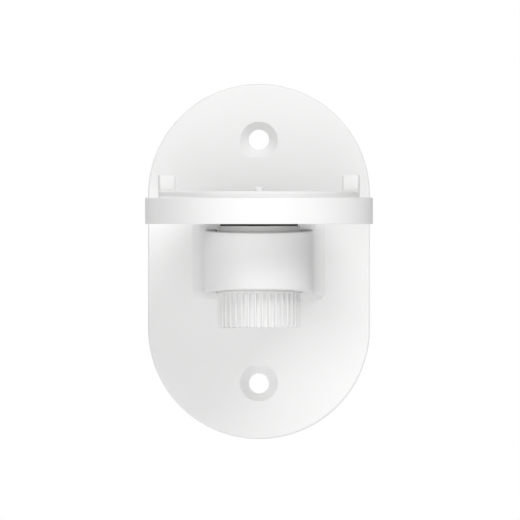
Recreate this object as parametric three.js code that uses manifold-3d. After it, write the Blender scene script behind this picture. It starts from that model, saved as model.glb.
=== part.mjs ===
// Wall mount for a nursery camera. A moulded wall plate carries an arm and a round boss. A round
// platform with two lugs pans on a flanged bush in the boss, and a knurled knob locks it from below.
// Millimetres. +Z is up and +Y goes into the wall. The origin is on the wall, behind the middle
// of the plate.

import * as THREE from 'three';
import { mergeVertices } from 'three/addons/utils/BufferGeometryUtils.js';
import Module from 'manifold-3d';

const wasm = await Module();
wasm.setup();

// Wall plate: a stadium with a shallow dome in front and a cored back.
const plateRadius = 30.8;
const plateHeight = 98.6;
const plateThickness = 5;
const domeRadius = 700;
const skin = 2.2;
const rimWall = 2.2;
const ribThickness = 1.6;
const crossRibHeight = 14;
const screwSpacing = 67.7;
const screwHoleRadius = 2.8;
const countersinkRadius = 5.25;
const screwBossRadius = 6;

// Arm and boss, moulded with the plate. The top and bottom lean a little, so that they leave the
// mould, and all four faces flare out where the arm meets the plate.
const axisDistance = 40;
const bossRadius = 15.07;
const armAtFlare = { top: 8.95, bottom: -9 };
const armAtAxis = { top: 8.6, bottom: -8.6 };
const bossFront = { top: 7.93, bottom: -7.71 };
const armFlare = { start: -10.8, end: -4.8, side: 3.7, top: 3, bottom: 1.6, steps: 6 };
const armPocket = { halfWidth: 12.4, top: 5.9, bottom: -6.4, depth: 30 };

// Heights along the pan axis, from the boss's lower seat to the top of the lugs.
const bottomSeat = -8.1;
const topSeat = 8.24;
const seatRadius = 12;
const slipGap = 0.05;
const flangeThickness = 1.61;
const frictionThickness = 0.5;
const trayBottom = topSeat + flangeThickness + slipGap + frictionThickness;
const bandHeight = 7.39;
const trayTop = trayBottom + bandHeight;
const deckRise = 1.78;
const deckTop = trayTop + deckRise;
const lugHeight = 4.44;

// Bush, washers and pivot bolt.
const bushFlangeRadius = 11.525;
const bushBoreRadius = 3.05;
const bushSleeveRadius = 5.95;
const sleeveBoreRadius = 6;
const sleeveBottom = 0.25;
const boltRadius = 2.95;
const boltLength = 30;
const boltHeadHeight = 4;
const boltHeadAcrossFlats = 10;
const boltSeat = 13.4;
const boltClearanceRadius = 3.2;
const counterboreRadius = 7;
const washerThickness = 1.6;

// Platform: a tray below and a deck above, held by three screws.
const trayRadius = 31.62;
const trayEdge = 0.25;
const floorThickness = 2;
const deckRadius = 28;
const deckGap = 0.3;
const deckThickness = 2;
const skirtThickness = 1.8;
const skirtBottom = 13;
const hubRadius = 9;
const hubTop = 17.2;
const lug = { outer: 27.95, inner: 23.3, halfSpan: THREE.MathUtils.degToRad(8) };
const deckScrewCount = 3;
const deckScrewCircle = 19;
const deckScrewRadius = 1.2;
const deckScrewHeadRadius = 2.3;
const deckScrewTop = 17;
const deckPostRadius = 2.8;

// Sprung locating pin, in front of the pan axis.
const pinCircle = 22;
const pinRadius = 1.25;
const pinProud = 1.4;
const pinCollarRadius = 2.2;
const pinCollar = { bottom: 15.9, top: 17.5 };
const pinStem = { radius: 1, bottom: 13.9 };
const pinWell = { inner: 2.5, outer: 3.5, top: 15 };
const springWire = 0.18;
const springRadius = 1.55;
const springTurns = 5;

// Lock knob.
const knobRadius = 11.475;
const knobGrooveRadius = 10.475;
const knobHeight = 10.31;
const knobLand = 0.55;
const knobRibs = 36;
const ribCrestHalf = THREE.MathUtils.degToRad(1.3);
const ribFootHalf = THREE.MathUtils.degToRad(2.1);
const knobHoleBottom = -17.1;
const knobDish = { radius: 8, depth: 0.4 };
const insertLength = 8;
const insertRadius = 4.45;
const insertHoleRadius = 4.5;
const insertBoreRadius = 3;

const quarter = Math.PI / 2;
const overshoot = 1;

const whitePlastic = new THREE.MeshStandardMaterial({ color: 0xf3f3f1, roughness: 0.45, metalness: 0 });
const bushPlastic = new THREE.MeshStandardMaterial({ color: 0xe9e9e6, roughness: 0.35, metalness: 0 });
const blackRubber = new THREE.MeshStandardMaterial({ color: 0x1c1c1d, roughness: 0.85, metalness: 0 });
const zincSteel = new THREE.MeshStandardMaterial({ color: 0xb9bbbe, roughness: 0.35, metalness: 1 });
const brass = new THREE.MeshStandardMaterial({ color: 0xc9a253, roughness: 0.35, metalness: 1 });

// ---- Outlines --------------------------------------------------------------------------------

function polar(radius, angle) {
  return new THREE.Vector2(radius * Math.cos(angle), radius * Math.sin(angle));
}

function arc(centreX, centreY, radius, from, to, steps) {
  const centre = new THREE.Vector2(centreX, centreY);
  return Array.from({ length: steps + 1 }, (_, i) =>
    polar(radius, from + ((to - from) * i) / steps).add(centre));
}

function stadium(radius, height, steps) {
  const centre = height / 2 - plateRadius;
  return [
    ...arc(0, centre, radius, 0, Math.PI, steps),
    ...arc(0, -centre, radius, Math.PI, 2 * Math.PI, steps),
  ];
}

function ringSector(inner, outer, from, to, steps) {
  return [...arc(0, 0, outer, from, to, steps), ...arc(0, 0, inner, to, from, steps)];
}

// ---- Solids ----------------------------------------------------------------------------------

function toSolid(geometry) {
  geometry.deleteAttribute('normal');
  geometry.deleteAttribute('uv');
  const merged = mergeVertices(geometry);
  return new wasm.Manifold(new wasm.Mesh({
    numProp: 3,
    vertProperties: new Float32Array(merged.attributes.position.array),
    triVerts: new Uint32Array(merged.index.array),
  }));
}

function toGeometry(solid) {
  const mesh = solid.getMesh();
  const geometry = new THREE.BufferGeometry();
  geometry.setAttribute('position', new THREE.BufferAttribute(mesh.vertProperties, 3));
  geometry.setIndex(new THREE.BufferAttribute(mesh.triVerts, 1));
  geometry.computeVertexNormals();
  return geometry;
}

function extruded(outline, depth) {
  const shape = new THREE.Shape(outline);
  return new THREE.ExtrudeGeometry(shape, { depth, bevelEnabled: false });
}

// An outline in X and Y, standing from low to high.
function prism(outline, low, high) {
  return toSolid(extruded(outline, high - low).translate(0, 0, low));
}

// An outline in X and Z, reaching from back to front along -Y.
function wallPrism(outline, back, front) {
  return toSolid(extruded(outline, back - front).rotateX(quarter).translate(0, back, 0));
}

// An outline in Y and Z, centred across X.
function sidePrism(outline, halfWidth) {
  const geometry = extruded(outline, 2 * halfWidth).translate(0, 0, -halfWidth);
  const turn = new THREE.Matrix4().makeBasis(
    new THREE.Vector3(0, 1, 0), new THREE.Vector3(0, 0, 1), new THREE.Vector3(1, 0, 0));
  return toSolid(geometry.applyMatrix4(turn));
}

// A profile of [radius, height] points turned about Z. It starts and ends on the axis, or it closes.
function turned(profile, sides) {
  const points = profile.map(([radius, height]) => new THREE.Vector2(radius, height));
  if (profile[0][0] > 0) points.push(points[0].clone());
  return toSolid(new THREE.LatheGeometry(points, sides).rotateX(quarter));
}

function disc(radius, low, high, sides) {
  return turned([[0, low], [radius, low], [radius, high], [0, high]], sides);
}

function ring(inner, outer, low, high, sides) {
  return turned([[inner, low], [outer, low], [outer, high], [inner, high]], sides);
}

function block(low, high) {
  const size = new THREE.Vector3().subVectors(high, low);
  const middle = new THREE.Vector3().addVectors(low, high).multiplyScalar(0.5);
  return toSolid(new THREE.BoxGeometry(size.x, size.y, size.z).translate(middle.x, middle.y, middle.z));
}

function joined(first, ...others) {
  return others.reduce((whole, next) => whole.add(next), first);
}

function cut(first, ...others) {
  return others.reduce((whole, next) => whole.subtract(next), first);
}

function piece(name, solid, material) {
  const mesh = new THREE.Mesh(toGeometry(solid), material);
  mesh.name = name;
  return mesh;
}

// ---- Wall bracket ----------------------------------------------------------------------------

function plateFrontAt(radius, thickness) {
  return -(thickness - (radius * radius) / (2 * domeRadius));
}

// A disc behind the dome, wider than the plate: its front is the dome at this thickness.
function domeBlank(thickness) {
  const rings = 4;
  const reach = plateHeight / 2 + 2;
  const front = Array.from({ length: rings + 1 }, (_, i) => {
    const radius = reach * (1 - i / rings);
    return [radius, -plateFrontAt(radius, thickness)];
  });
  const solid = turned([[0, -overshoot], [reach, -overshoot], ...front], 40);
  return solid.rotate([90, 0, 0]);
}

function plate() {
  const outline = stadium(plateRadius, plateHeight, 28);
  return wallPrism(outline, 0, -2 * plateThickness).intersect(domeBlank(plateThickness));
}

// The flare in section: [offset, y] from the plate to where it leaves the arm's face.
function flareSection(spread) {
  const depth = armFlare.end - armFlare.start;
  const radius = (depth * depth + spread * spread) / (2 * spread);
  const inPlate = [spread, -plateThickness + skin / 2];
  const bend = Array.from({ length: armFlare.steps + 1 }, (_, i) => {
    const ahead = depth * (1 - i / armFlare.steps);
    return [radius - Math.sqrt(radius * radius - ahead * ahead), armFlare.start + ahead];
  });
  return [inPlate, ...bend];
}

function armPlan() {
  const side = flareSection(armFlare.side);
  return [
    ...side.map(([offset, y]) => new THREE.Vector2(bossRadius + offset, y)),
    ...arc(0, -axisDistance, bossRadius, 0, -Math.PI, 28),
    ...side.map(([offset, y]) => new THREE.Vector2(-bossRadius - offset, y)).reverse(),
  ];
}

function armSide() {
  const frontY = -axisDistance - bossRadius;
  const above = flareSection(armFlare.top);
  const below = flareSection(armFlare.bottom);
  return [
    ...above.map(([offset, y]) => new THREE.Vector2(y, armAtFlare.top + offset)),
    new THREE.Vector2(-axisDistance, armAtAxis.top),
    new THREE.Vector2(frontY, bossFront.top),
    new THREE.Vector2(frontY, bossFront.bottom),
    new THREE.Vector2(-axisDistance, armAtAxis.bottom),
    ...below.map(([offset, y]) => new THREE.Vector2(y, armAtFlare.bottom - offset)).reverse(),
  ];
}

function armAndBoss() {
  const arm = prism(armPlan(), -plateRadius, plateRadius).intersect(sidePrism(armSide(), plateRadius));
  const onAxis = (solid) => solid.translate([0, -axisDistance, 0]);
  const pads = disc(seatRadius, bottomSeat, topSeat, 32);
  const aboveSeat = disc(seatRadius + 0.2, topSeat, topSeat + 3, 32);
  const belowSeat = disc(seatRadius + 0.2, bottomSeat - 3, bottomSeat, 32);
  return cut(joined(arm, onAxis(pads)), onAxis(aboveSeat), onAxis(belowSeat));
}

function backRecess() {
  const outline = stadium(plateRadius - rimWall, plateHeight - 2 * rimWall, 28);
  const hollow = wallPrism(outline, overshoot, -plateThickness)
    .intersect(domeBlank(plateThickness - skin));
  const half = ribThickness / 2;
  const uprightRib = block(
    new THREE.Vector3(-half, -plateThickness, -screwSpacing / 2),
    new THREE.Vector3(half, 2 * overshoot, screwSpacing / 2));
  const crossRibs = [-crossRibHeight, crossRibHeight].map((height) => block(
    new THREE.Vector3(-plateRadius, -plateThickness, height - half),
    new THREE.Vector3(plateRadius, 2 * overshoot, height + half)));
  const bosses = [-1, 1].map((side) => wallPrism(
    arc(0, (side * screwSpacing) / 2, screwBossRadius, 0, 2 * Math.PI, 24).slice(1),
    2 * overshoot, -plateThickness));
  return cut(hollow, uprightRib, ...crossRibs, ...bosses);
}

function armPockets() {
  const half = ribThickness / 2;
  return [-1, 1].map((side) => {
    const edges = [side * half, side * armPocket.halfWidth].sort((a, b) => a - b);
    return block(
      new THREE.Vector3(edges[0], -armPocket.depth, armPocket.bottom),
      new THREE.Vector3(edges[1], overshoot, armPocket.top));
  });
}

// A countersunk hole through the plate, with its cone at 45 degrees to the hole.
function screwHole(side) {
  const front = -plateFrontAt(screwSpacing / 2, plateThickness);
  const coneDepth = countersinkRadius - screwHoleRadius;
  const hole = turned([
    [0, -overshoot],
    [screwHoleRadius, -overshoot],
    [screwHoleRadius, front - coneDepth],
    [countersinkRadius + overshoot, front + overshoot],
    [0, front + overshoot],
  ], 28);
  return hole.rotate([90, 0, 0]).translate([0, 0, (side * screwSpacing) / 2]);
}

function pivotBore() {
  const bore = turned([
    [0, bottomSeat - overshoot],
    [counterboreRadius, bottomSeat - overshoot],
    [counterboreRadius, bottomSeat + 2 * washerThickness + slipGap],
    [boltClearanceRadius, bottomSeat + 2 * washerThickness + slipGap],
    [boltClearanceRadius, sleeveBottom - slipGap],
    [sleeveBoreRadius, sleeveBottom - slipGap],
    [sleeveBoreRadius, topSeat + overshoot],
    [0, topSeat + overshoot],
  ], 32);
  return bore.translate([0, -axisDistance, 0]);
}

function wallBracket() {
  const solid = cut(
    joined(plate(), armAndBoss()),
    backRecess(), ...armPockets(), screwHole(-1), screwHole(1), pivotBore());
  return piece('wall_bracket', solid, whitePlastic);
}

// ---- Pieces on the pan axis: each is made about its own axis and placed by the pan group --------

function swivelBush() {
  const top = topSeat + flangeThickness;
  const solid = turned([
    [bushBoreRadius, sleeveBottom],
    [bushSleeveRadius, sleeveBottom],
    [bushSleeveRadius, topSeat],
    [bushFlangeRadius, topSeat],
    [bushFlangeRadius, top],
    [bushBoreRadius, top],
  ], 32);
  return piece('swivel_bush', solid, bushPlastic);
}

function frictionWasher() {
  const solid = ring(6, 10.85, trayBottom - frictionThickness, trayBottom, 32);
  return piece('friction_washer', solid, blackRubber);
}

function deckScrewPlaces() {
  return Array.from({ length: deckScrewCount }, (_, i) =>
    polar(deckScrewCircle, quarter + (2 * Math.PI * i) / deckScrewCount));
}

function platformTray() {
  const floorTop = trayBottom + floorThickness;
  const innerRadius = deckRadius + deckGap;
  const shell = turned([
    [boltClearanceRadius, trayBottom],
    [trayRadius - trayEdge, trayBottom],
    [trayRadius, trayBottom + trayEdge],
    [trayRadius, trayTop - trayEdge],
    [trayRadius - trayEdge, trayTop],
    [innerRadius, trayTop],
    [innerRadius, floorTop],
    [hubRadius, floorTop],
    [hubRadius, hubTop],
    [boltClearanceRadius, hubTop],
  ], 48);
  const well = ring(pinWell.inner, pinWell.outer, floorTop - overshoot, pinWell.top, 20)
    .translate([0, -pinCircle, 0]);
  const pocketClearance = 0.2;
  const hexRadius = (boltHeadAcrossFlats + pocketClearance) / Math.sqrt(3);
  const hexPocket = disc(hexRadius, boltSeat, hubTop + overshoot, 6);
  const screwHoles = deckScrewPlaces().map((place) => turned([
    [0, trayBottom - overshoot],
    [deckScrewHeadRadius + 0.1 + overshoot, trayBottom - overshoot],
    [deckScrewRadius + 0.2, trayBottom + 1.2],
    [deckScrewRadius + 0.2, floorTop + overshoot],
    [0, floorTop + overshoot],
  ], 16).translate([place.x, place.y, 0]));
  return piece('platform_tray', cut(joined(shell, well), hexPocket, ...screwHoles), whitePlastic);
}

function platformDeck() {
  const ceiling = deckTop - deckThickness;
  const cup = turned([
    [0, ceiling],
    [deckRadius - skirtThickness, ceiling],
    [deckRadius - skirtThickness, skirtBottom],
    [deckRadius, skirtBottom],
    [deckRadius, trayTop],
    [deckRadius - 0.35, trayTop + 1],
    [deckRadius - 0.5, deckTop - 0.27],
    [deckRadius - 0.9, deckTop],
    [0, deckTop],
  ], 48);
  const lugs = [0, Math.PI].map((facing) => prism(
    ringSector(lug.inner, lug.outer, facing - lug.halfSpan, facing + lug.halfSpan, 5),
    trayTop, deckTop + lugHeight));
  const postBottom = trayBottom + floorThickness + slipGap;
  const atScrews = (solid) => deckScrewPlaces().map((place) => solid.translate([place.x, place.y, 0]));
  const posts = atScrews(disc(deckPostRadius, postBottom, ceiling + overshoot, 16));
  const pilotHoles = atScrews(disc(deckScrewRadius + 0.1, postBottom - overshoot, deckScrewTop + 0.2, 16));
  const pinHole = disc(pinRadius + 0.07, ceiling - overshoot, deckTop + overshoot, 16)
    .translate([0, -pinCircle, 0]);
  return piece('platform_deck', cut(joined(cup, ...lugs, ...posts), ...pilotHoles, pinHole), whitePlastic);
}

function deckScrew(place, number) {
  const solid = turned([
    [0, trayBottom + slipGap],
    [deckScrewHeadRadius, trayBottom + slipGap],
    [deckScrewRadius, trayBottom + 1.2],
    [deckScrewRadius, deckScrewTop - 1],
    [0, deckScrewTop],
  ], 16);
  const mesh = piece(`deck_screw_${number}`, solid, zincSteel);
  mesh.position.set(place.x, place.y, 0);
  return mesh;
}

function pivotBolt() {
  const headRadius = boltHeadAcrossFlats / Math.sqrt(3);
  const chamfer = 0.6;
  const head = disc(headRadius, boltSeat, boltSeat + boltHeadHeight, 6);
  const end = boltSeat - boltLength;
  const shank = turned([
    [0, end],
    [boltRadius - chamfer, end],
    [boltRadius, end + chamfer],
    [boltRadius, boltSeat + overshoot],
    [0, boltSeat + overshoot],
  ], 24);
  return piece('pivot_bolt', joined(head, shank), zincSteel);
}

function detentPin() {
  const top = deckTop + pinProud;
  const domeHeight = 0.69;
  const dome = Array.from({ length: 4 }, (_, i) => {
    const angle = (quarter * i) / 4;
    return [pinRadius * Math.cos(angle), top - domeHeight + domeHeight * Math.sin(angle)];
  });
  const solid = turned([
    [0, pinStem.bottom],
    [pinStem.radius, pinStem.bottom],
    [pinStem.radius, pinCollar.bottom],
    [pinCollarRadius, pinCollar.bottom],
    [pinCollarRadius, pinCollar.top],
    [pinRadius, pinCollar.top],
    ...dome,
    [0, top],
  ], 16);
  const mesh = piece('detent_pin', solid, whitePlastic);
  mesh.position.y = -pinCircle;
  return mesh;
}

class Helix extends THREE.Curve {
  constructor(radius, bottom, top, turns) {
    super();
    Object.assign(this, { radius, bottom, top, turns });
  }

  getPoint(t, target = new THREE.Vector3()) {
    const angle = t * this.turns * 2 * Math.PI;
    const height = this.bottom + (this.top - this.bottom) * t;
    return target.set(this.radius * Math.cos(angle), this.radius * Math.sin(angle), height);
  }
}

function detentSpring() {
  const seat = trayBottom + floorThickness + slipGap;
  const top = pinCollar.bottom - slipGap;
  const path = new Helix(springRadius, seat + springWire, top - springWire, springTurns);
  const section = new THREE.Shape(arc(0, 0, springWire, 0, 2 * Math.PI, 6).slice(1));
  const wire = new THREE.ExtrudeGeometry(section, { steps: springTurns * 12, extrudePath: path });
  const mesh = piece('detent_spring', toSolid(wire), zincSteel);
  mesh.position.y = -pinCircle;
  return mesh;
}

function flatWasher() {
  const bottom = bottomSeat + washerThickness;
  return piece('flat_washer', ring(3.2, 6, bottom, bottom + washerThickness, 24), zincSteel);
}

function springWasher() {
  const halfGap = THREE.MathUtils.degToRad(5);
  const outline = ringSector(3.1, 5.9, halfGap, 2 * Math.PI - halfGap, 22);
  return piece('spring_washer', prism(outline, bottomSeat, bottomSeat + washerThickness), zincSteel);
}

function knurlOutline() {
  const pitch = (2 * Math.PI) / knobRibs;
  const points = [];
  for (let rib = 0; rib < knobRibs; rib += 1) {
    const crest = -quarter + (rib + 0.5) * pitch;
    points.push(
      polar(knobRadius, crest - ribCrestHalf),
      polar(knobRadius, crest + ribCrestHalf),
      polar(knobGrooveRadius, crest + ribFootHalf),
      polar(knobGrooveRadius, crest + pitch - ribFootHalf));
  }
  return points;
}

function lockKnob() {
  const top = bottomSeat - slipGap;
  const bottom = top - knobHeight;
  const land = disc(knobRadius, top - knobLand, top, 72);
  const body = prism(knurlOutline(), bottom, top - knobLand / 2);
  const insertHole = disc(insertHoleRadius, top - insertLength - slipGap, top + overshoot, 24);
  const boltHole = disc(boltClearanceRadius, knobHoleBottom, top, 24);
  const dish = disc(knobDish.radius, bottom - overshoot, bottom + knobDish.depth, 32);
  return piece('lock_knob', cut(joined(land, body), insertHole, boltHole, dish), whitePlastic);
}

function knobInsert() {
  const top = bottomSeat - slipGap;
  return piece('knob_insert', ring(insertBoreRadius, insertRadius, top - insertLength, top, 24), brass);
}

// ---- Assembly --------------------------------------------------------------------------------

const panAxis = new THREE.Group();
panAxis.position.y = -axisDistance;
panAxis.add(
  swivelBush(),
  frictionWasher(),
  platformTray(),
  platformDeck(),
  ...deckScrewPlaces().map((place, i) => deckScrew(place, i + 1)),
  pivotBolt(),
  detentPin(),
  detentSpring(),
  flatWasher(),
  springWasher(),
  lockKnob(),
  knobInsert(),
);

const wallMount = new THREE.Group();
wallMount.add(wallBracket(), panAxis);

export default wallMount;
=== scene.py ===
"""The looks of a camera wall mount: a moulded wall plate with an arm and boss, a round platform that
pans on a bush, and a ribbed knob that locks it. Each piece is built as a fine mesh in millimetres, in
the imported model's frame, and stands for the CAD node of the same name."""

import math

import bmesh
import bpy
import numpy as np
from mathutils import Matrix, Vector
from mathutils.geometry import delaunay_2d_cdt


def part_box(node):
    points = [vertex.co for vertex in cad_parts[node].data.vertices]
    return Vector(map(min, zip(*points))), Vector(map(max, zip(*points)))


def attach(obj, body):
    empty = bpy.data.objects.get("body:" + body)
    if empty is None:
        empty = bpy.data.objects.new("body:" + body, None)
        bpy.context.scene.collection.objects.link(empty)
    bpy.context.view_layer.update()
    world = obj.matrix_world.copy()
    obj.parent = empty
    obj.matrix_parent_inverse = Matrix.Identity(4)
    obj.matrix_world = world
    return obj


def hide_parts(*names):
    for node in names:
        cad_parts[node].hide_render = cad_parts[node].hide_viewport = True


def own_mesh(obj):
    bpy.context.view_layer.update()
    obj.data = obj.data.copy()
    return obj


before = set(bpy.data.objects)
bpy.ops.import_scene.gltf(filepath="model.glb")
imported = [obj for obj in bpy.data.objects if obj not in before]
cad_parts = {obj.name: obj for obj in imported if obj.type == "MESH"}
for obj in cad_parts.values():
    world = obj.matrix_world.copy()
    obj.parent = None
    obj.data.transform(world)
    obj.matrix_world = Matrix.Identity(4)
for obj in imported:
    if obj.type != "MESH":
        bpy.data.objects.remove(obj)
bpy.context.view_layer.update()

MM = 0.001
TURN = 2 * math.pi


def box_mm(node):
    low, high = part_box(node)
    return low / MM, high / MM


# ---- Sizes from the frame, in millimetres -------------------------------------------------------

PLATE_LOW, PLATE_HIGH = box_mm("wall_bracket")
TRAY_LOW, TRAY_HIGH = box_mm("platform_tray")
DECK_LOW, DECK_HIGH = box_mm("platform_deck")
BUSH_LOW, BUSH_HIGH = box_mm("swivel_bush")
FRICTION_LOW, FRICTION_HIGH = box_mm("friction_washer")
BOLT_LOW, BOLT_HIGH = box_mm("pivot_bolt")
PIN_LOW, PIN_HIGH = box_mm("detent_pin")
SPRING_LOW, SPRING_HIGH = box_mm("detent_spring")
FLAT_LOW, FLAT_HIGH = box_mm("flat_washer")
SPLIT_LOW, SPLIT_HIGH = box_mm("spring_washer")
KNOB_LOW, KNOB_HIGH = box_mm("lock_knob")
INSERT_LOW, INSERT_HIGH = box_mm("knob_insert")

AXIS_Y = (TRAY_LOW.y + TRAY_HIGH.y) / 2
PAN_AXIS = (0.0, AXIS_Y)
PIN_PLACE = (0.0, (PIN_LOW.y + PIN_HIGH.y) / 2)
TRAY_RADIUS = TRAY_HIGH.x
KNOB_RADIUS = -KNOB_LOW.x
PIN_PROUD = 1.4
DECK_SURFACE = PIN_HIGH.z - PIN_PROUD

# Wall plate: a stadium with a shallow dome in front.
PLATE_HALF_WIDTH = PLATE_HIGH.x
PLATE_HALF_HEIGHT = PLATE_HIGH.z
PLATE_THICKNESS = 5.0
DOME_RADIUS = 700.0
PLATE_SKIN = 2.2
PLATE_EDGE = 0.65
PLATE_BACK_EDGE = 0.2
ARC_STEPS = 72
SIDE_STEPS = 16
SURFACE_GRID = 1.6
SCREW_HEIGHT = 33.85
SCREW_HOLE_RADIUS = 2.8
COUNTERSINK_RADIUS = 5.25
COUNTERSINK_EDGE = 0.1
HOLE_STEPS = 64

# Arm and boss. The arm's faces flare out where they meet the plate. Each table gives a size at some
# depths, from back to front.
BOSS_RADIUS = -PLATE_LOW.y + AXIS_Y
ROOT_Y = -5.05
ROOT_FILLET = 0.15
FLARE_START = -10.8
FLARE_DEPTH = 6.0
SIDE_FLARE = 3.7
TOP_FLARE = 3.0
BOTTOM_FLARE = 1.6
ARM_EDGE = ((ROOT_Y, 2.0), (FLARE_START, 0.45))
ARM_TOP = ((FLARE_START, 8.95), (AXIS_Y, 8.6), (AXIS_Y - BOSS_RADIUS, 7.93))
ARM_BOTTOM = ((FLARE_START, -9.0), (AXIS_Y, -8.6), (AXIS_Y - BOSS_RADIUS, -7.71))
TOP_SEAT = 8.24
BOTTOM_SEAT = -8.1
SEAT_RADIUS = 12.0

# Fits that several pieces share.
BOLT_HEAD = 4.0
BOLT_HOLE_RADIUS = 3.2
CLEARANCE = 0.05


# ---- Outlines -----------------------------------------------------------------------------------


def rounded(corners, steps=6):
    """A closed outline through corners of (x, y, radius), each rounded by an arc of its radius."""
    points = []
    count = len(corners)
    for i, (x, y, radius) in enumerate(corners):
        corner = Vector((x, y))
        if radius <= 0:
            points.append((x, y))
            continue
        before = (Vector(corners[i - 1][:2]) - corner).normalized()
        after = (Vector(corners[(i + 1) % count][:2]) - corner).normalized()
        half = before.angle(after) / 2
        centre = corner + (before + after).normalized() * (radius / math.sin(half))
        reach = radius / math.tan(half)
        first = corner + before * reach - centre
        last = corner + after * reach - centre
        start = math.atan2(first.y, first.x)
        sweep = math.atan2(last.y, last.x) - start
        sweep = (sweep + math.pi) % TURN - math.pi
        for k in range(steps + 1):
            angle = start + sweep * k / steps
            points.append((centre.x + radius * math.cos(angle), centre.y + radius * math.sin(angle)))
    return points


def circle(radius, steps, centre=(0.0, 0.0), phase=0.0):
    angles = [phase + TURN * k / steps for k in range(steps)]
    return [(centre[0] + radius * math.cos(a), centre[1] + radius * math.sin(a)) for a in angles]


def between(table, value):
    """Straight-line interpolation in a table of (key, value) pairs with falling keys."""
    keys = [-key for key, _ in table]
    return float(np.interp(-value, keys, [height for _, height in table]))


# ---- Mesh building ------------------------------------------------------------------------------


class Shell:
    """Points in millimetres and faces. Loops of points are joined by bands and closed by caps."""

    def __init__(self):
        self.points = []
        self.faces = []

    def add(self, points):
        start = len(self.points)
        self.points.extend(tuple(p) for p in points)
        return list(range(start, len(self.points)))

    def band(self, first, second):
        """Joins two closed loops of equal length, or a loop and a single point."""
        if len(first) == 1:
            first, second = second, first
        count = len(first)
        for i in range(count):
            j = (i + 1) % count
            if len(second) == 1:
                self.faces.append((first[i], first[j], second[0]))
            else:
                self.faces.append((first[i], first[j], second[j], second[i]))

    def strip(self, first, second):
        """Joins two open rows of equal length."""
        for i in range(len(first) - 1):
            self.faces.append((first[i], first[i + 1], second[i + 1], second[i]))

    def stack(self, loops):
        """Joins loops one after the other and caps both ends."""
        rows = [self.add(loop) for loop in loops]
        for first, second in zip(rows, rows[1:]):
            self.band(first, second)
        for end in (rows[0], rows[-1]):
            if len(end) > 1:
                self.faces.append(tuple(end))
        return self

    def fill(self, loops, lift, inside, grid=()):
        """Triangles between closed (x, z) loops that exist already, with a grid of points in between.
        lift puts a grid point on the surface, and inside says which triangles are kept."""
        known = [i for loop in loops for i in loop]
        flat = [Vector((self.points[i][0], self.points[i][2])) for i in known]
        edges = []
        start = 0
        for loop in loops:
            count = len(loop)
            edges += [(start + k, start + (k + 1) % count) for k in range(count)]
            start += count
        coords, _, triangles, origin, _, _ = delaunay_2d_cdt(
            flat + [Vector(p) for p in grid], edges, [], 0, 1e-6)
        added = self.add([lift(x, z) for x, z in grid])
        lookup = [(known + added)[o[0]] for o in origin]
        for triangle in triangles:
            x = sum(coords[k].x for k in triangle) / 3
            z = sum(coords[k].y for k in triangle) / 3
            if inside(x, z):
                self.faces.append(tuple(lookup[k] for k in triangle))


def revolved(profile, steps=144, centre=PAN_AXIS):
    """A closed profile of (radius, height) turned about the upright line through centre."""
    shell = Shell()
    phase = -math.pi / 2
    rows = []
    for radius, height in profile:
        if radius < 1e-6:
            rows.append(shell.add([(centre[0], centre[1], height)]))
        else:
            rows.append(shell.add([(x, y, height) for x, y in circle(radius, steps, centre, phase)]))
    for first, second in zip(rows, rows[1:] + rows[:1]):
        if len(first) > 1 or len(second) > 1:
            shell.band(first, second)
    return shell


def hexagon(across_flats, low, high):
    """A six-sided prism on the pan axis."""
    corners = circle(across_flats / math.sqrt(3), 6, PAN_AXIS)
    return Shell().stack([[(x, y, z) for x, y in corners] for z in (low, high)])


def mesh_object(name, shell):
    """A Blender object in metres, with its faces turned outwards."""
    mesh = bpy.data.meshes.new(name)
    mesh.from_pydata([(x * MM, y * MM, z * MM) for x, y, z in shell.points], [], shell.faces)
    work = bmesh.new()
    work.from_mesh(mesh)
    bmesh.ops.recalc_face_normals(work, faces=work.faces)
    work.to_mesh(mesh)
    work.free()
    made = bpy.data.objects.new(name, mesh)
    bpy.context.scene.collection.objects.link(made)
    return made


def combine(base, operation, *parts):
    """Joins parts to base, cuts them from it or keeps what they share, and leaves one plain mesh."""
    for part in parts:
        tool = mesh_object("tool", part) if isinstance(part, Shell) else part
        change = base.modifiers.new("change", "BOOLEAN")
        change.operation = operation
        change.solver = "EXACT"
        change.object = tool
        graph = bpy.context.evaluated_depsgraph_get()
        graph.update()
        result = bpy.data.meshes.new_from_object(base.evaluated_get(graph))
        base.modifiers.clear()
        spent = base.data
        base.data = result
        bpy.data.meshes.remove(spent)
        spent = tool.data
        bpy.data.objects.remove(tool)
        bpy.data.meshes.remove(spent)
    return base


def finished(piece, material, slot, body, *nodes, crease=32):
    """Cleans and smooths a piece, gives it its material, and sets what it rides on and stands for."""
    work = bmesh.new()
    work.from_mesh(piece.data)
    bmesh.ops.remove_doubles(work, verts=work.verts, dist=2e-7)
    bmesh.ops.dissolve_degenerate(work, edges=work.edges, dist=2e-7)
    bmesh.ops.recalc_face_normals(work, faces=work.faces)
    work.to_mesh(piece.data)
    work.free()
    piece.data.shade_smooth()
    piece.data.set_sharp_from_angle(angle=math.radians(crease))
    piece.data.materials.clear()
    piece.data.materials.append(material)
    weigh = piece.modifiers.new("weighted_normals", "WEIGHTED_NORMAL")
    weigh.keep_sharp = True
    weigh.weight = 80
    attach(piece, body)
    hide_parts(*nodes)
    return piece


# ---- Materials ----------------------------------------------------------------------------------


def shader(name, colour, roughness, metallic=0.0):
    material = bpy.data.materials.new(name)
    material.use_nodes = True
    nodes = material.node_tree.nodes
    surface = nodes["Principled BSDF"]
    surface.inputs["Base Color"].default_value = (*colour, 1)
    surface.inputs["Roughness"].default_value = roughness
    surface.inputs["Metallic"].default_value = metallic
    return material, nodes, material.node_tree.links, surface


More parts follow.
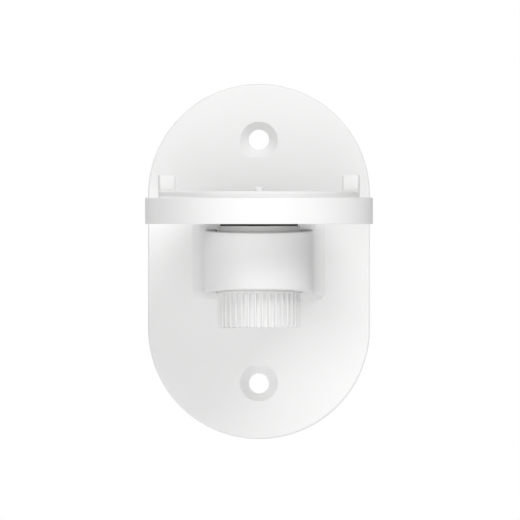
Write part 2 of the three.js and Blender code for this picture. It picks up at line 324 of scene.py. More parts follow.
def noise(nodes, links, size, detail=2.0, stretch=(1, 1, 1)):
    """A noise in object space whose features are about size millimetres."""
    place = nodes.new("ShaderNodeTexCoord")
    scale = nodes.new("ShaderNodeMapping")
    scale.inputs["Scale"].default_value = stretch
    texture = nodes.new("ShaderNodeTexNoise")
    texture.inputs["Scale"].default_value = 1 / (size * MM)
    texture.inputs["Detail"].default_value = detail
    links.new(place.outputs["Object"], scale.inputs["Vector"])
    links.new(scale.outputs["Vector"], texture.inputs["Vector"])
    return texture.outputs["Fac"]


def ramp(nodes, links, source, low, high, start=0.3, end=0.7):
    """Maps a value from start..end to low..high, which are numbers or colours."""
    if isinstance(low, tuple):
        made = nodes.new("ShaderNodeMix")
        made.data_type = "RGBA"
        spread = ramp(nodes, links, source, 0.0, 1.0, start, end)
        links.new(spread, made.inputs["Factor"])
        made.inputs["A"].default_value = (*low, 1)
        made.inputs["B"].default_value = (*high, 1)
        return made.outputs["Result"]
    made = nodes.new("ShaderNodeMapRange")
    made.inputs["From Min"].default_value = start
    made.inputs["From Max"].default_value = end
    made.inputs["To Min"].default_value = low
    made.inputs["To Max"].default_value = high
    links.new(source, made.inputs["Value"])
    return made.outputs["Result"]


def bump(nodes, links, surface, source, height):
    """Raises the surface by up to height millimetres, for shading only."""
    made = nodes.new("ShaderNodeBump")
    made.inputs["Strength"].default_value = 1.0
    made.inputs["Distance"].default_value = height * MM
    links.new(source, made.inputs["Height"])
    links.new(made.outputs["Normal"], surface.inputs["Normal"])


def moulded_plastic(name, colour, roughness, grain=0.28, grain_height=0.006):
    """Satin moulded plastic: a fine spark-eroded grain, and slow changes of tone and gloss."""
    material, nodes, links, surface = shader(name, colour, roughness)
    shade = tuple(c * 0.985 for c in colour)
    links.new(ramp(nodes, links, noise(nodes, links, 22), shade, colour), surface.inputs["Base Color"])
    gloss = ramp(nodes, links, noise(nodes, links, 3.5, 4), roughness - 0.04, roughness + 0.05)
    links.new(gloss, surface.inputs["Roughness"])
    bump(nodes, links, surface, noise(nodes, links, grain, 3), grain_height)
    surface.inputs["Specular IOR Level"].default_value = 0.45
    return material


def plated_steel(name, colour, roughness):
    """Bright zinc plate, with fine drawn lines and a slight cloudiness."""
    material, nodes, links, surface = shader(name, colour, roughness, metallic=1.0)
    tint = tuple(c * f for c, f in zip(colour, (0.9, 0.93, 0.98)))
    links.new(ramp(nodes, links, noise(nodes, links, 1.6, 3), tint, colour), surface.inputs["Base Color"])
    gloss = ramp(nodes, links, noise(nodes, links, 0.5, 4), roughness - 0.08, roughness + 0.1)
    links.new(gloss, surface.inputs["Roughness"])
    bump(nodes, links, surface, noise(nodes, links, 0.12, 2, (1, 1, 5)), 0.004)
    return material


def washer_rubber():
    # Near-black: this ring draws the thin dark line between the platform and the bush's flange. That
    # darkness is partly the washer's own black and partly painted shade of the shadowed gap under the
    # platform.
    material, nodes, links, surface = shader("black_rubber_and_gap_shade", (0.022, 0.022, 0.024), 0.82)
    grey = (0.034, 0.034, 0.036)
    speck = ramp(nodes, links, noise(nodes, links, 0.7, 3), (0.02, 0.02, 0.022), grey)
    links.new(speck, surface.inputs["Base Color"])
    bump(nodes, links, surface, noise(nodes, links, 0.2, 3), 0.012)
    return material


WHITE = moulded_plastic("white_bracket", (0.81, 0.81, 0.807), 0.46)
PLATFORM_WHITE = moulded_plastic("white_platform", (0.82, 0.82, 0.817), 0.44)
KNOB_WHITE = moulded_plastic("white_knob", (0.81, 0.81, 0.807), 0.42)
ACETAL = moulded_plastic("natural_acetal", (0.74, 0.74, 0.735), 0.34, 0.5, 0.003)
RUBBER_AND_GAP_SHADE = washer_rubber()
ZINC = plated_steel("zinc_plate", (0.66, 0.67, 0.69), 0.3)
SPRING_STEEL = plated_steel("spring_steel", (0.56, 0.56, 0.57), 0.24)
BRASS = plated_steel("turned_brass", (0.78, 0.57, 0.25), 0.28)


# ---- Wall bracket -------------------------------------------------------------------------------


def dome_depth(x, z):
    """How far the plate's front stands off the wall."""
    return PLATE_THICKNESS - (x * x + z * z) / (2 * DOME_RADIUS)


def stadium_loop(inset):
    """The plate's outline as (x, z) points, moved inwards by inset."""
    radius = PLATE_HALF_WIDTH - inset
    centre = PLATE_HALF_HEIGHT - PLATE_HALF_WIDTH
    angles = [math.pi * k / ARC_STEPS for k in range(ARC_STEPS + 1)]
    upper = [(radius * math.cos(a), centre + radius * math.sin(a)) for a in angles]
    heights = [centre - 2 * centre * k / SIDE_STEPS for k in range(1, SIDE_STEPS)]
    left = [(-radius, z) for z in heights]
    lower = [(-x, -z) for x, z in upper]
    return upper + left + lower + [(radius, -z) for z in heights]


def in_stadium(x, z, inset):
    centre = PLATE_HALF_HEIGHT - PLATE_HALF_WIDTH
    beyond = max(abs(z) - centre, 0.0)
    return math.hypot(x, beyond) < PLATE_HALF_WIDTH - inset


def hole_distance(x, z):
    """How far a point of the plate is from the axis of the nearer screw hole."""
    return min(math.hypot(x, z - side * SCREW_HEIGHT) for side in (1, -1))


def flare(spread, y):
    """How far a face of the arm stands out at depth y, in the hollow arc that meets the plate."""
    ahead = max(0.0, y - FLARE_START)
    radius = (FLARE_DEPTH ** 2 + spread ** 2) / (2 * spread)
    return radius - math.sqrt(radius ** 2 - ahead ** 2)


def arm_size(y):
    """The arm's half width, bottom, top and edge rounding at depth y."""
    half = BOSS_RADIUS + flare(SIDE_FLARE, y)
    bottom = between(ARM_BOTTOM, y) - flare(BOTTOM_FLARE, y)
    top = between(ARM_TOP, y) + flare(TOP_FLARE, y)
    return half, bottom, top, between(ARM_EDGE, y)


def arm_section():
    """The arm's rounded section at its root, as (x, z, normal x, normal z) points."""
    half, bottom, top, edge = arm_size(ROOT_Y)
    side = []
    for height, start in ((bottom + edge, -90), (top - edge, 0)):
        for k in range(7):
            angle = math.radians(start + 15 * k)
            normal = (math.cos(angle), math.sin(angle))
            side.append((half - edge + edge * normal[0], height + edge * normal[1], *normal))
    walls = [bottom + edge + (top - bottom - 2 * edge) * k / 10 for k in range(1, 10)]
    side[7:7] = [(half, z, 1.0, 0.0) for z in walls]
    across = [(half - edge) * (1 - 2 * k / 16) for k in range(1, 16)]
    roof = [(x, top, 0.0, 1.0) for x in across]
    left = [(-x, z, -nx, nz) for x, z, nx, nz in reversed(side)]
    floor = [(-x, bottom, 0.0, -1.0) for x in across]
    return side, roof, left, floor


def arm_stations():
    """The arm and boss in plan: (x, y, normal x, normal y) from the right of the arm to its left."""
    depths = [ROOT_Y + (FLARE_START - ROOT_Y) * k / 14 for k in range(1, 15)]
    depths += [FLARE_START + (AXIS_Y - FLARE_START) * k / 8 for k in range(1, 8)]
    right = [(arm_size(y)[0], y, 1.0, 0.0) for y in depths]
    around = []
    for k in range(73):
        angle = math.pi * k / 72
        normal = (math.cos(angle), -math.sin(angle))
        around.append((BOSS_RADIUS * normal[0], AXIS_Y + BOSS_RADIUS * normal[1], *normal))
    left = [(-x, y, -nx, ny) for x, y, nx, ny in reversed(right)]
    return right + around + left


def add_arm(shell):
    """Adds the arm, the boss and the fillet at the arm's root. Returns the fillet's outer loop."""
    side, roof, left, floor = arm_section()
    section = side + roof + left + floor
    rows = []
    for k in range(7):
        angle = math.pi / 2 * k / 6
        spread = ROOT_FILLET * (1 - math.sin(angle))
        rise = ROOT_FILLET * (1 - math.cos(angle))
        moved = [(x + nx * spread, z + nz * spread) for x, z, nx, nz in section]
        rows.append(shell.add([(x, -dome_depth(x, z) - rise, z) for x, z in moved]))
    for first, second in zip(rows, rows[1:]):
        shell.band(first, second)
    root = rows[-1]
    count = len(side)
    roof_ids = root[count:count + len(roof)]
    floor_ids = root[2 * count + len(roof):]
    columns = [root[:count]]
    wall_share = [k / 10 for k in range(1, 10)]
    turns = [math.pi / 12 * k for k in range(7)]
    for x, y, nx, ny in arm_stations():
        _, bottom, top, edge = arm_size(y)
        low, high = bottom + edge, top - edge
        profile = [(edge * (1 - math.sin(a)), low - edge * math.cos(a)) for a in turns]
        profile += [(0.0, low + (high - low) * share) for share in wall_share]
        profile += [(edge * (1 - math.cos(a)), high + edge * math.sin(a)) for a in turns]
        columns.append(shell.add([(x - nx * u, y - ny * u, z) for u, z in profile]))
    columns.append(list(reversed(root[count + len(roof):2 * count + len(roof)])))
    for first, second in zip(columns, columns[1:]):
        shell.strip(first, second)
    for end, back in ((-1, roof_ids), (0, list(reversed(floor_ids)))):
        rim = [column[end] for column in columns]
        shell.faces.append((rim[0], rim[1], rim[-2], rim[-1], *reversed(back)))
        for j in range(1, len(rim) // 2 - 1):
            shell.faces.append((rim[j], rim[j + 1], rim[-j - 2], rim[-j - 1]))
        middle = len(rim) // 2
        shell.faces.append((rim[middle - 1], rim[middle], rim[middle + 1]))
    return rows[0]


def add_screw_hole(shell, height):
    """Adds a countersunk hole, from its rim on the dome to the back. Returns its two end loops."""
    cone_foot = dome_depth(0, height) - (COUNTERSINK_RADIUS - SCREW_HOLE_RADIUS)
    directions = circle(1, HOLE_STEPS)
    rims = []
    for dx, dz in directions:
        radius = COUNTERSINK_RADIUS
        for _ in range(4):
            radius = SCREW_HOLE_RADIUS + dome_depth(radius * dx, height + radius * dz) - cone_foot
        rims.append(radius)

    def ring(beyond):
        return [((r + beyond) * dx, height + (r + beyond) * dz) for r, (dx, dz) in zip(rims, directions)]

    def cone_depth(x, z):
        return cone_foot + math.hypot(x, z - height) - SCREW_HOLE_RADIUS

    loops = [
        [(x, -dome_depth(x, z), z) for x, z in ring(COUNTERSINK_EDGE)],
        [(x, -dome_depth(x, z) + COUNTERSINK_EDGE * 0.3, z) for x, z in ring(0.02)],
        [(x, -cone_depth(x, z), z) for x, z in ring(-COUNTERSINK_EDGE)],
    ]
    bore = [(SCREW_HOLE_RADIUS * dx, height + SCREW_HOLE_RADIUS * dz) for dx, dz in directions]
    loops.append([(x, -cone_foot, z) for x, z in bore])
    loops.append([(x, 0.0, z) for x, z in bore])
    rows = [shell.add(loop) for loop in loops]
    for first, second in zip(rows, rows[1:]):
        shell.band(first, second)
    return rows[0], rows[-1]


def bracket_shell():
    """The plate with its domed front, rounded edge and holes, and the arm and boss, as one skin."""
    shell = Shell()
    rim = stadium_loop(PLATE_EDGE)
    depth = [dome_depth(x, z) for x, z in rim]
    loops = [[(x, 0.0, z) for x, z in stadium_loop(PLATE_BACK_EDGE)]]
    loops.append([(x, -PLATE_BACK_EDGE, z) for x, z in stadium_loop(0.0)])
    for k in range(9):
        angle = math.pi / 2 * k / 8
        inset = stadium_loop(PLATE_EDGE * (1 - math.cos(angle)))
        drop = PLATE_EDGE * (1 - math.sin(angle))
        loops.append([(x, drop - d, z) for (x, z), d in zip(inset, depth)])
    rows = [shell.add(loop) for loop in loops]
    for first, second in zip(rows, rows[1:]):
        shell.band(first, second)
    root = add_arm(shell)
    holes = [add_screw_hole(shell, side * SCREW_HEIGHT) for side in (1, -1)]

    arm_half, arm_bottom, arm_top, _ = arm_size(ROOT_Y)

    def clear(x, z, margin):
        """Whether a point of the plate's front is off the arm and off the countersinks."""
        arm_gap = max(abs(x) - arm_half, z - arm_top, arm_bottom - z) - ROOT_FILLET
        return arm_gap > margin and hole_distance(x, z) > COUNTERSINK_RADIUS + margin

    steps_x = int(PLATE_HALF_WIDTH / SURFACE_GRID)
    steps_z = int(PLATE_HALF_HEIGHT / SURFACE_GRID)
    grid = [(i * SURFACE_GRID, j * SURFACE_GRID)
            for i in range(-steps_x, steps_x + 1) for j in range(-steps_z, steps_z + 1)]
    grid = [(x, z) for x, z in grid if in_stadium(x, z, PLATE_EDGE + 0.7) and clear(x, z, 0.9)]
    shell.fill([rows[-1], root, holes[0][0], holes[1][0]],
               lambda x, z: (x, -dome_depth(x, z), z),
               lambda x, z: in_stadium(x, z, 0.0) and clear(x, z, -0.3), grid)

    shell.fill([rows[0], holes[0][1], holes[1][1]], lambda x, z: (x, 0.0, z),
               lambda x, z: hole_distance(x, z) > SCREW_HOLE_RADIUS * 0.98)
    return shell


def wall_prism(outline, back, front):
    return Shell().stack([[(x, y, z) for x, z in outline] for y in (back, front)])


def back_recess():
    """The hollow behind the plate, between its rim, ribs and screw bosses."""
    rim_wall = 2.2
    rib = 0.8                # half a rib's width
    cross_rib = 14.0         # height of the two cross ribs, above and below the middle
    boss_radius = 6.0
    shell = Shell()
    outline = stadium_loop(rim_wall)

    def on_floor(x, z):
        return x, PLATE_SKIN - dome_depth(x, z), z

    mouth = shell.add([(x, 1.0, z) for x, z in outline])
    floor = shell.add([on_floor(x, z) for x, z in outline])
    shell.band(mouth, floor)
    shell.faces.append(tuple(mouth))
    spacing = 3.0
    reach = range(-17, 18)
    grid = [(i * spacing, j * spacing) for i in reach for j in reach]
    grid = [(x, z) for x, z in grid if in_stadium(x, z, rim_wall + 1)]
    shell.fill([floor], on_floor, lambda x, z: in_stadium(x, z, rim_wall), grid)
    hollow = mesh_object("hollow", shell)
    upright = [(-rib, -SCREW_HEIGHT), (rib, -SCREW_HEIGHT), (rib, SCREW_HEIGHT), (-rib, SCREW_HEIGHT)]
    across = [[(-40.0, h - rib), (40.0, h - rib), (40.0, h + rib), (-40.0, h + rib)]
              for h in (-cross_rib, cross_rib)]
    bosses = [circle(boss_radius, 48, (0.0, side * SCREW_HEIGHT)) for side in (1, -1)]
    kept = [wall_prism(outline, 2.0, -6.0) for outline in (upright, *across, *bosses)]
    return combine(hollow, "DIFFERENCE", *kept)


def arm_pocket(side):
    """One of the two cored pockets in the arm, open at the back and tapered for the mould."""
    web, reach, floor, roof = 0.8, 12.4, -6.4, 5.9
    loops = []
    for y, shrink in ((1.0, 0.0), (-29.2, 0.25), (-29.8, 0.4), (-30.0, 0.9)):
        low_x, high_x = web + shrink / 2, reach - shrink
        corners = [(low_x, floor + shrink, 0.6), (high_x, floor + shrink, 1.2),
                   (high_x, roof - shrink, 1.2), (low_x, roof - shrink, 0.6)]
        loops.append([(side * x, y, z) for x, z in rounded(corners)])
    return Shell().stack(loops)


def wall_bracket():
    """The moulding, with its level seats on the boss, its stepped bore and its cored back."""
    counterbore, sleeve_hole = 7, 6
    washer_seat, sleeve_end = FLAT_HIGH.z + CLEARANCE, BUSH_LOW.z - CLEARANCE
    cut = SEAT_RADIUS + 0.2
    piece = mesh_object("wall_bracket_fine", bracket_shell())
    pads = revolved([(0, BOTTOM_SEAT), (SEAT_RADIUS, BOTTOM_SEAT), (SEAT_RADIUS, TOP_SEAT), (0, TOP_SEAT)])
    above = revolved([(0, TOP_SEAT), (cut, TOP_SEAT), (cut, 12), (0, 12)])
    below = revolved([(0, -12), (cut, -12), (cut, BOTTOM_SEAT), (0, BOTTOM_SEAT)])
    bore = revolved([
        (0, -9), (counterbore, -9), (counterbore, washer_seat), (BOLT_HOLE_RADIUS, washer_seat),
        (BOLT_HOLE_RADIUS, sleeve_end), (sleeve_hole, sleeve_end), (sleeve_hole, 9.5), (0, 9.5)], 96)
    combine(piece, "UNION", pads)
    combine(piece, "DIFFERENCE", above, below, bore, arm_pocket(1), arm_pocket(-1), back_recess())
    return finished(piece, WHITE, "bracket_plastic", "bracket", "wall_bracket")


# ---- Platform -----------------------------------------------------------------------------------


def deck_screw_places():
    places = []
    for number in (1, 2, 3):
        low, high = box_mm(f"deck_screw_{number}")
        places.append(((low.x + high.x) / 2, (low.y + high.y) / 2))
    return places


def platform_tray():
    """The band and its floor, with a hub that holds the bolt's head and a well for the pin's spring."""
    bottom, top = TRAY_LOW.z, TRAY_HIGH.z
    floor = bottom + 2
    wall, hub, hub_top = 28.3, 9, 17.2
    well_inside, well_outside, well_top = 2.5, 3.5, 15
    screw_hole, sink = 1.4, 3.4
    profile = rounded([
        (BOLT_HOLE_RADIUS, bottom, 0.2), (TRAY_RADIUS, bottom, 0.2), (TRAY_RADIUS, top, 0.3),
        (wall, top, 0.15), (wall, floor, 0.3), (hub, floor, 0.3), (hub, hub_top, 0.3),
        (BOLT_HOLE_RADIUS, hub_top, 0.2)])
    piece = mesh_object("platform_tray_fine", revolved(profile, 240))
    well = revolved([(well_inside, floor - 1), (well_outside, floor - 1), (well_outside, well_top),
                     (well_inside, well_top)], 48, PIN_PLACE)
    pocket = hexagon(10.2, BOLT_HIGH.z - BOLT_HEAD, 18)
    sunk = [(0, bottom - 1), (sink, bottom - 1), (screw_hole, bottom + 1.2), (screw_hole, floor + 1),
            (0, floor + 1)]
    holes = [revolved(sunk, 48, place) for place in deck_screw_places()]
    combine(piece, "UNION", well)
    combine(piece, "DIFFERENCE", pocket, *holes)
    return finished(piece, PLATFORM_WHITE, "platform_plastic", "platform", "platform_tray")


def lug_shell(facing):
    """An upright lug on the deck's rim: a ring sector with rounded corners and a rounded top."""
    half, corner, edge = math.radians(8), 0.7, 0.3
    base, top = TRAY_HIGH.z + 0.3, DECK_HIGH.z

    def outline(inset):
        points = []
        for radius, side in ((27.95 - inset, 1), (23.3 + inset, -1)):
            span = half - inset / radius
            flat = span - 0.95 / radius
            angles = [-span, *(flat * k / 6 for k in range(-6, 7)), span]
            radii = [corner - inset, *[0.0] * 13, corner - inset]
            points += [(radius * math.cos(side * a), radius * math.sin(side * a), r)
                       for a, r in zip(angles, radii)]
        return rounded(points)

    levels = [(0.0, base), (0.0, DECK_SURFACE - 0.1), (0.12, DECK_SURFACE), (0.12, DECK_SURFACE + 0.3),
              (0.0, DECK_SURFACE + 0.42), (0.0, top - edge)]
    levels += [(edge * (1 - math.cos(a)), top - edge + edge * math.sin(a))
               for a in (math.pi / 12 * k for k in range(1, 7))]
    turn_cos, turn_sin = math.cos(facing), math.sin(facing)
    loops = [[(x * turn_cos - y * turn_sin, AXIS_Y + x * turn_sin + y * turn_cos, height)
              for x, y in outline(inset)] for inset, height in levels]
    return Shell().stack(loops)


def platform_deck():
    """The deck with its skirt, its two lugs, the posts for its screws and the hole for the pin."""
    ceiling = DECK_SURFACE - 2
    skirt = DECK_LOW.z + 0.55
    base = TRAY_HIGH.z
    skirt_inside, skirt_outside = 26.2, 28
    post, pilot, pilot_top = 2.8, 1.3, 17.2
    pin_bore, above = 1.32, 21
    profile = [(0, ceiling), (skirt_inside, ceiling), (skirt_inside, skirt), (skirt_outside, skirt),
               (skirt_outside, base)]
    profile += [(27.62 + 0.38 * (1 - math.sin(a)), base + 1.0 * (1 - math.cos(a)))
                for a in (math.pi / 12 * k for k in range(1, 7))]
    profile += [(27.15 + 0.38 * math.cos(a), DECK_SURFACE - 0.38 + 0.38 * math.sin(a))
                for a in (math.pi / 16 * k for k in range(0, 9))]
    profile += [(26.0, DECK_SURFACE), (0, DECK_SURFACE)]
    piece = mesh_object("platform_deck_fine", revolved(profile, 240))
    combine(piece, "UNION", lug_shell(0.0), lug_shell(math.pi))
    floor = TRAY_LOW.z + 2.05
    posts = [revolved([(0, floor), (post, floor), (post, ceiling + 1), (0, ceiling + 1)], 40, p)
             for p in deck_screw_places()]
    combine(piece, "UNION", *posts)
    pilots = [revolved([(0, floor - 1), (pilot, floor - 1), (pilot, pilot_top), (0, pilot_top)], 32, p)
              for p in deck_screw_places()]
    pin_hole = revolved([(0, ceiling - 1), (pin_bore, ceiling - 1), (pin_bore, DECK_SURFACE - 0.12),
                         (1.5, DECK_SURFACE + 0.06), (1.5, above), (0, above)], 48, PIN_PLACE)
    combine(piece, "DIFFERENCE", *pilots, pin_hole)
    return finished(piece, PLATFORM_WHITE, "platform_plastic", "platform", "platform_deck")


def detent_pin():
    """A domed pin, with a collar that keeps it under the deck and a tail inside its spring."""
    top, foot = PIN_HIGH.z, PIN_LOW.z
    radius, rise = 1.25, 0.69
    tail, collar, collar_low, collar_high, edge = 1.0, 2.2, 15.9, 17.5, 0.1
    angles = [math.pi / 20 * k for k in range(10)]
    dome = [(radius * math.cos(a), top - rise + rise * math.sin(a)) for a in angles]
    profile = [(0, foot), (tail - 0.15, foot), (tail, foot + 0.15), (tail, collar_low),
               (collar - edge, collar_low), (collar, collar_low + edge), (collar, collar_high - edge),
               (collar - edge, collar_high), (radius, collar_high), *dome, (0, top)]
    piece = mesh_object("detent_pin_fine", revolved(profile, 64, PIN_PLACE))
    return finished(piece, PLATFORM_WHITE, "platform_plastic", "detent", "detent_pin")


def detent_spring():
    """A round-wire coil whose end turns lie closed."""
    wire, radius, turns = 0.18, 1.55, 5
    steps = 40 * turns
    low, high = SPRING_LOW.z + wire, SPRING_HIGH.z - wire
    loops = []
    for k in range(steps + 1):
        t = k / steps
        eased = t - math.sin(TURN * t) / TURN * 0.55
        angle = TURN * turns * t
        out = Vector((math.cos(angle), math.sin(angle), 0.0))
        centre = radius * out + Vector((0, PIN_PLACE[1], low + (high - low) * eased))
        loops.append([tuple(centre + wire * (out * c + Vector((0, 0, 1)) * s)) for c, s in circle(1, 10)])
    piece = mesh_object("detent_spring_fine", Shell().stack(loops))
    finished(piece, SPRING_STEEL, "zinc_steel", "platform", "detent_spring", crease=60)
    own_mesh(piece)
    return piece


# ---- Pivot --------------------------------------------------------------------------------------


def swivel_bush():
    """A sleeve in the boss's bore, with the flange that shows on top of the boss."""
    bottom, top = BUSH_LOW.z, BUSH_HIGH.z
    bore, sleeve, flange = 3.05, 5.95, BUSH_HIGH.x
    profile = rounded([
        (bore, bottom, 0.15), (sleeve, bottom, 0.3), (sleeve, TOP_SEAT, 0), (flange, TOP_SEAT, 0.12),
        (flange, top, 0.2), (bore, top, 0.15)], 4)
    piece = mesh_object("swivel_bush_fine", revolved(profile, 160))
    return finished(piece, ACETAL, "bush_plastic", "bracket", "swivel_bush")


def friction_washer():
    # The washer's near-black colour paints the dark line under the platform: partly its own black, partly
    # painted shade of the gap.
    low, high = FRICTION_LOW.z, FRICTION_HIGH.z
    inner, outer = 6, FRICTION_HIGH.x
    profile = rounded([(inner, low, 0.08), (outer, low, 0.12), (outer, high, 0.12), (inner, high, 0.08)], 4)
    piece = mesh_object("friction_washer_fine", revolved(profile, 128))
    return finished(piece, RUBBER_AND_GAP_SHADE, "washer_rubber", "platform", "friction_washer")


def threaded(low, high, major, depth, pitch, steps=40, centre=PAN_AXIS, chamfer=0.6):
    """Loops of a rod whose surface winds as a thread, with a chamfered lower end."""
    rows = []
    per_pitch = 8
    count = int((high - low) / pitch * per_pitch)
    for i in range(count + 1):
        z = low + (high - low) * i / count
        limit = major - max(0.0, chamfer - (z - low))
        fade = min(1.0, (high - z) / pitch)
        loop = []
        for k in range(steps):
            turn = k / steps
            wave = 0.5 + 0.85 * math.cos(TURN * (z / pitch - turn))
            cut = depth * fade * (1 - min(1.0, max(0.0, wave)))
            radius = min(limit, major - cut)
            angle = TURN * turn
            loop.append((centre[0] + radius * math.cos(angle), centre[1] + radius * math.sin(angle), z))
        rows.append(loop)
    return rows


def pivot_bolt():
    """An M6 hex bolt, head up, with its thread cut over the lower part of its shank."""
    top = BOLT_HIGH.z
    seat = top - BOLT_HEAD
    radius, thread_depth, pitch = 2.95, 0.42, 1.0
    plain_shank = 12
    rows = threaded(BOLT_LOW.z, seat - plain_shank, radius, thread_depth, pitch)
    rows.append([(x * radius, AXIS_Y + y * radius, seat + 0.5) for x, y in circle(1, 40)])
    piece = mesh_object("pivot_bolt_fine", Shell().stack(rows))
    head = mesh_object("head", hexagon(10, seat, top))
    chamfer = revolved([(0, seat - 1), (7, seat - 1), (7, top - 1.1), (4.9, top), (0, top)], 96)
    combine(head, "INTERSECT", chamfer)
    combine(piece, "UNION", head)
    return finished(piece, ZINC, "zinc_steel", "platform", "pivot_bolt", crease=40)


def cross_recess(place, bottom):
    """The cross-shaped driver recess of a screw, as two tapered bars."""
    bars = []
    levels = ((bottom - 0.5, 1.35, 0.42), (bottom + 0.1, 1.15, 0.36), (bottom + 1.0, 0.45, 0.2))
    for turned in (False, True):
        loops = []
        for height, length, width in levels:
            corners = [(-length, -width), (length, -width), (length, width), (-length, width)]
            if turned:
                corners = [(-y, x) for x, y in corners]
            loops.append([(place[0] + x, place[1] + y, height) for x, y in corners])
        bars.append(Shell().stack(loops))
    return bars


def deck_screw(number, place):
    """A countersunk screw, head down. Its thread is built upside down and turned over."""
    low, high = box_mm(f"deck_screw_{number}")
    shank, thread_depth, pitch, steps = 1.2, 0.28, 0.9, 36
    rows = [circle(r, steps, place) for r in (2.2, 2.3, shank)]
    heights = (low.z, low.z + 0.08, low.z + 1.15)
    loops = [[(x, y, z) for x, y in row] for row, z in zip(rows, heights)]
    thread = threaded(-high.z + 0.2, -heights[-1] - 0.2, shank, thread_depth, pitch, steps, place, 0.5)
    loops += [[(x, y, -z) for x, y, z in row] for row in reversed(thread)]
    loops.append([(*place, high.z)])
    piece = mesh_object(f"deck_screw_{number}_fine", Shell().stack(loops))
    combine(piece, "DIFFERENCE", *cross_recess(place, low.z))
    return finished(piece, ZINC, "zinc_steel", "platform", f"deck_screw_{number}", crease=40)


def flat_washer():
    low, high = FLAT_LOW.z, FLAT_HIGH.z
    hole, outer = BOLT_HOLE_RADIUS, 6
    profile = rounded([(hole, low, 0.12), (outer, low, 0.12), (outer, high, 0.35), (hole, high, 0.2)], 4)
    piece = mesh_object("flat_washer_fine", revolved(profile, 96))
    return finished(piece, ZINC, "zinc_steel", "clamp_washers", "flat_washer")


def spring_washer():
    """A split ring of square wire, pressed flat, with its two ends cut square."""
    low, high = SPLIT_LOW.z, SPLIT_HIGH.z
    gap = math.radians(5)
    inner, outer, edge = 3.1, 5.9, 0.2
    section = rounded([(inner, low, edge), (outer, low, edge), (outer, high, edge), (inner, high, edge)], 3)
    loops = []
    for k in range(97):
        angle = gap + (TURN - 2 * gap) * k / 96
        loops.append([(r * math.cos(angle), AXIS_Y + r * math.sin(angle), z) for r, z in section])
    piece = mesh_object("spring_washer_fine", Shell().stack(loops))
    return finished(piece, SPRING_STEEL, "zinc_steel", "clamp_washers", "spring_washer")


# ---- Knob ---------------------------------------------------------------------------------------

KNOB_RIBS = 36
KNOB_GROOVE = 1.0
KNOB_LAND = 0.55

# Half of a rib's section: degrees from its middle, and how far it stands out of the groove.
RIB_SECTION = [(0.0, 1.0), (0.9, 1.0), (1.15, 0.97), (1.35, 0.88), (1.5, 0.7),
               (1.75, 0.35), (1.95, 0.12), (2.2, 0.02), (2.6, 0.0), (3.6, 0.0), (5.0, 0.0)]


def knob_loop(height, radius, groove):
    """One level of the knob's side. groove is the depth between the ribs at this level."""
    half = [(math.radians(away), share) for away, share in RIB_SECTION]
    section = [(-away, share) for away, share in reversed(half[1:-1])] + half
    loop = []
    for rib in range(KNOB_RIBS):
        middle = -math.pi / 2 + TURN * (rib + 0.5) / KNOB_RIBS
        for away, share in section:
            out = radius - groove * (1 - share)
            angle = middle + away
            loop.append((out * math.cos(angle), AXIS_Y + out * math.sin(angle), height))
    return loop


def lock_knob():
    """One skin, from the blind hole for the bolt's end, over the top and the ribs, to the dished foot."""
    top, bottom = KNOB_HIGH.z, KNOB_LOW.z
    r, g = KNOB_RADIUS, KNOB_GROOVE
    hole, hole_end = BOLT_HOLE_RADIUS, -17.1
    seat, shelf = 4.5, INSERT_LOW.z - CLEARANCE
    dish = bottom + 0.4

    def plain(height, radius):
        return knob_loop(height, radius, 0.0)

    loops = [
        plain(hole_end, 0.3), plain(hole_end, hole), plain(shelf, hole), plain(shelf, seat),
        plain(top - 0.15, seat), plain(top, seat + 0.15), plain(top, r - 0.25), plain(top - 0.07, r - 0.07),
        plain(top - 0.25, r), plain(top - KNOB_LAND + 0.1, r), plain(top - KNOB_LAND, r - 0.01),
        knob_loop(top - KNOB_LAND - 0.03, r, g * 0.25), knob_loop(top - KNOB_LAND - 0.2, r, g * 0.8),
        knob_loop(top - KNOB_LAND - 0.35, r, g), knob_loop(bottom + 4, r, g), knob_loop(bottom + 0.85, r, g),
        knob_loop(bottom + 0.5, r - 0.12, g - 0.12), knob_loop(bottom + 0.25, r - 0.32, g - 0.32),
        knob_loop(bottom + 0.08, r - 0.52, 0.02), plain(bottom, r - 0.75),
        plain(bottom, 8.25), plain(bottom + 0.1, 8.05), plain(bottom + 0.3, 7.85), plain(dish, 7.6),
        plain(dish, 0.3),
    ]
    piece = mesh_object("lock_knob_fine", Shell().stack(loops))
    return finished(piece, KNOB_WHITE, "knob_plastic", "knob", "lock_knob", crease=38)


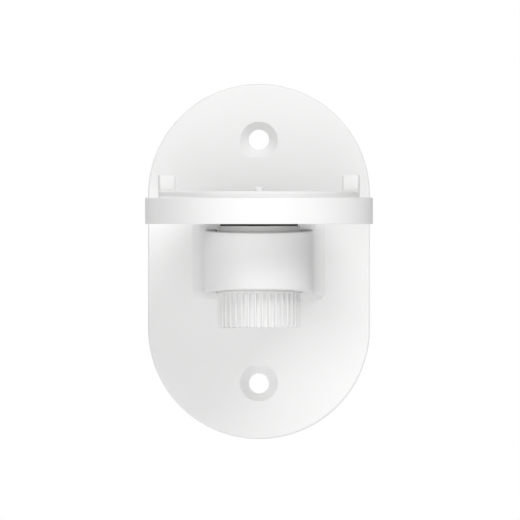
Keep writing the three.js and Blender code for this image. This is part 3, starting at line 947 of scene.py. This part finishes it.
def knob_insert():
    """A threaded brass insert with two knurled bands and a groove between them."""
    low, high = INSERT_LOW.z, INSERT_HIGH.z
    outer = INSERT_HIGH.x
    steps = 96

    def level(height, radius, knurl=0.0):
        loop = []
        for k in range(steps):
            out = radius - knurl * (0.5 + 0.5 * math.cos(TURN * k / 4))
            angle = TURN * k / steps
            loop.append((out * math.cos(angle), AXIS_Y + out * math.sin(angle), height))
        return loop

    middle = (low + high) / 2
    waist = outer - 0.45
    outside = [
        level(low, 3.15), level(low, outer - 0.4), level(low + 0.3, outer - 0.1),
        level(low + 0.4, outer, 0.25), level(middle - 0.9, outer, 0.25), level(middle - 0.8, waist),
        level(middle + 0.8, waist), level(middle + 0.9, outer, 0.25), level(high - 0.7, outer, 0.25),
        level(high - 0.6, outer - 0.2), level(high, outer - 0.2), level(high, 3.4), level(high - 0.3, 3.05)]
    inside = []
    for i in range(1, 57):
        z = high - 0.3 - (high - low - 0.45) * i / 56
        wave = [0.5 + 0.85 * math.cos(TURN * (z - k / steps)) for k in range(steps)]
        radii = [3.02 + 0.2 * (1 - min(1.0, max(0.0, w))) for w in wave]
        angles = [TURN * k / steps for k in range(steps)]
        inside.append([(r * math.cos(a), AXIS_Y + r * math.sin(a), z) for r, a in zip(radii, angles)])
    shell = Shell()
    rows = [shell.add(loop) for loop in outside + inside]
    for first, second in zip(rows, rows[1:] + rows[:1]):
        shell.band(first, second)
    piece = mesh_object("knob_insert_fine", shell)
    return finished(piece, BRASS, "insert_brass", "knob", "knob_insert", crease=40)


# ---- Stage --------------------------------------------------------------------------------------

FLOOR_HEIGHT = -1000.0
FLOOR_RADIUS = 12000.0
ROOM_LIGHT = 0.35

# What the camera sees: its width, and the x and z of its middle.
VIEW_WIDTH = 144.4
VIEW_CENTRE = (0.29, 0.43)
CAMERA_DISTANCE = 1000.0

# Lamps: degrees round from the front, with the left negative, degrees up, the light they give, and
# how many degrees wide they look from the part.
LAMPS = [
    ("key_lamp", 25, 45, 1.7, 40),
    ("fill_lamp", -35, 0, 0.8, 40),
    ("low_lamp", 0, -20, 0.8, 40),
    ("back_lamp", -140, 25, 0.8, 40),
]


def lamp(name, azimuth, elevation, strength, width):
    """A soft distant lamp. One that shines upwards is a disk near the part, above the floor."""
    across, up = math.radians(azimuth), math.radians(elevation)
    toward = Vector((math.sin(across) * math.cos(up), -math.cos(across) * math.cos(up), math.sin(up)))
    if elevation < 0:
        distance = 1.2
        light = bpy.data.lights.new(name, "AREA")
        light.shape = "DISK"
        light.size = 2 * distance * math.tan(math.radians(width) / 2)
        light.energy = strength * math.pi * distance ** 2
    else:
        distance = 2.0
        light = bpy.data.lights.new(name, "SUN")
        light.angle = math.radians(width)
        light.energy = strength
    holder = bpy.data.objects.new(name, light)
    holder.location = Vector((0, AXIS_Y * MM, 0)) + toward * distance
    holder.rotation_euler = (-toward).to_track_quat("-Z", "Y").to_euler()
    bpy.context.scene.collection.objects.link(holder)


def white_room():
    """An even room light, and a backdrop that the camera sees as plain white."""
    world = bpy.data.worlds.new("white_room")
    world.use_nodes = True
    nodes, links = world.node_tree.nodes, world.node_tree.links
    path = nodes.new("ShaderNodeLightPath")
    level = nodes.new("ShaderNodeMapRange")
    level.inputs["To Min"].default_value = ROOM_LIGHT
    level.inputs["To Max"].default_value = 1.0
    links.new(path.outputs["Is Camera Ray"], level.inputs["Value"])
    links.new(level.outputs["Result"], nodes["Background"].inputs["Strength"])
    nodes["Background"].inputs["Color"].default_value = (1, 1, 1, 1)
    bpy.context.scene.world = world
    bpy.context.scene.view_settings.view_transform = "Standard"


def stage():
    """The room and its lamps, a pale floor well below, and the camera square on to the plate."""
    white_room()
    for settings in LAMPS:
        lamp(*settings)

    ground = Shell()
    ground.faces.append(tuple(ground.add([(x, y, FLOOR_HEIGHT) for x, y in circle(FLOOR_RADIUS, 96)])))
    floor = mesh_object("floor", ground)
    pale, _, _, _ = shader("pale_floor", (0.8, 0.8, 0.8), 0.7)
    floor.data.materials.append(pale)

    camera = bpy.data.cameras.new("camera")
    camera.type = "ORTHO"
    camera.ortho_scale = VIEW_WIDTH * MM
    camera.clip_start = 0.01
    camera.clip_end = 10
    eye = bpy.data.objects.new("camera", camera)
    eye.location = (VIEW_CENTRE[0] * MM, -CAMERA_DISTANCE * MM, VIEW_CENTRE[1] * MM)
    eye.rotation_euler = (math.pi / 2, 0, 0)
    bpy.context.scene.collection.objects.link(eye)
    bpy.context.scene.camera = eye


# ---- Assembly -----------------------------------------------------------------------------------

stage()
wall_bracket()
swivel_bush()
friction_washer()
platform_tray()
platform_deck()
for index, spot in enumerate(deck_screw_places(), start=1):
    deck_screw(index, spot)
pivot_bolt()
detent_pin()
detent_spring()
flat_washer()
spring_washer()
lock_knob()
knob_insert()
